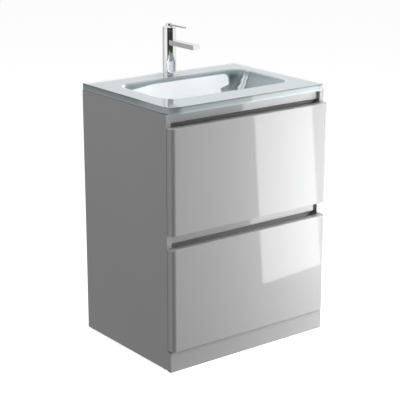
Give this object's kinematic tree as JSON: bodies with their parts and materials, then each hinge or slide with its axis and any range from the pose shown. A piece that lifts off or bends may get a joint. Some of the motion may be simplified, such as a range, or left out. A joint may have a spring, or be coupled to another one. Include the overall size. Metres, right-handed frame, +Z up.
{
  "type": "bathroom vanity cabinet",
  "caption": "Floor-standing bathroom vanity unit with stacked handleless drawers, a moulded glass basin top and a single-lever mixer tap.",
  "frame": {"origin": "on the floor, at the middle of the footprint's bounding box", "axes": "+Z up through the unit's height, -Y out of the drawer fronts, +X to the right as seen from the front"},
  "size_m": [0.6, 0.464, 0.9667],
  "materials": {
    "gloss_lacquer": "high-gloss light grey lacquer on fibreboard",
    "white_board": "light grey melamine-faced board",
    "basin_glass": "polished clear glass with pale paint behind it",
    "chrome": "polished chrome plate",
    "runner_steel": "zinc-plated rolled steel",
    "zinc_steel": "zinc-plated steel",
    "brass": "machined brass",
    "rubber": "moulded rubber",
    "plastic": "moulded acetal"
  },
  "bodies": {
    "cabinet": {"basin_seal": "rubber", "bottom_panel": "white_board", "cabinet_runner_screws": "zinc_steel", "cam_bolts": "zinc_steel", "cam_discs": "zinc_steel", "cartridge_nut": "brass", "floor_glides": "plastic", "glass_basin": "basin_glass", "lower_runner_left_cabinet": "runner_steel", "lower_runner_right_cabinet": "runner_steel", "mid_rail": "gloss_lacquer", "plinth_board": "gloss_lacquer", "rear_lower_rail": "white_board", "rear_top_rail": "white_board", "side_panel_left": "gloss_lacquer", "side_panel_right": "gloss_lacquer", "tap_aerator": "chrome", "tap_base_ring": "chrome", "tap_body": "chrome", "tap_cartridge": "plastic", "tap_clamp_nut": "brass", "tap_clamp_washer": "zinc_steel", "tap_dome": "chrome", "tap_inlet_block": "brass", "tap_spout": "chrome", "tap_stud": "zinc_steel", "top_rail": "gloss_lacquer", "upper_runner_left_cabinet": "runner_steel", "upper_runner_right_cabinet": "runner_steel", "waste_backnut": "brass", "waste_body": "chrome", "waste_cone_washer": "rubber", "waste_top_washer": "rubber"},
    "upper_drawer": {"upper_drawer_back_left": "white_board", "upper_drawer_back_right": "white_board", "upper_drawer_base": "white_board", "upper_drawer_front": "gloss_lacquer", "upper_drawer_side_left": "white_board", "upper_drawer_side_right": "white_board", "upper_front_brackets": "zinc_steel", "upper_runner_left_drawer": "runner_steel", "upper_runner_right_drawer": "runner_steel", "service_surround": "white_board"},
    "lower_drawer": {"lower_drawer_back": "white_board", "lower_drawer_base": "white_board", "lower_drawer_front": "gloss_lacquer", "lower_drawer_side_left": "white_board", "lower_drawer_side_right": "white_board", "lower_front_brackets": "zinc_steel", "lower_runner_left_drawer": "runner_steel", "lower_runner_right_drawer": "runner_steel"},
    "upper_runner_middles": {"upper_runner_left_middle": "runner_steel", "upper_runner_right_middle": "runner_steel"},
    "lower_runner_middles": {"lower_runner_left_middle": "runner_steel", "lower_runner_right_middle": "runner_steel"},
    "mixer_carrier": {"spindle_carrier": "plastic"},
    "mixer_lever": {"tap_cap": "chrome", "tap_lever": "chrome", "tap_spindle": "zinc_steel"},
    "click_plug": {"waste_plug": "chrome"}
  },
  "joints": [
    {"name": "upper_drawer_slide", "type": "slide", "parent": "cabinet", "child": "upper_drawer", "axis": [0, -1, 0], "range_m": [0, 0.32]},
    {"name": "lower_drawer_slide", "type": "slide", "parent": "cabinet", "child": "lower_drawer", "axis": [0, -1, 0], "range_m": [0, 0.32]},
    {"name": "upper_runner_slide", "type": "slide", "parent": "cabinet", "child": "upper_runner_middles", "axis": [0, -1, 0], "range_m": [0, 0.16]},
    {"name": "lower_runner_slide", "type": "slide", "parent": "cabinet", "child": "lower_runner_middles", "axis": [0, -1, 0], "range_m": [0, 0.16]},
    {"name": "mixer_swivel", "type": "hinge", "parent": "cabinet", "child": "mixer_carrier", "pos_m": [0, 0.19, 0.921], "axis": [0, 0, 1], "range_deg": [-45, 45]},
    {"name": "mixer_lift", "type": "hinge", "parent": "mixer_carrier", "child": "mixer_lever", "pos_m": [0, 0.19, 0.921], "axis": [-1, 0, 0], "range_deg": [0, 14]},
    {"name": "plug_press", "type": "slide", "parent": "cabinet", "child": "click_plug", "axis": [0, 0, -1], "range_m": [0, 0.008]}
  ],
  "couplings": [
    {"joint": "upper_runner_slide", "follows": "upper_drawer_slide", "ratio": 0.5},
    {"joint": "lower_runner_slide", "follows": "lower_drawer_slide", "ratio": 0.5}
  ]
}
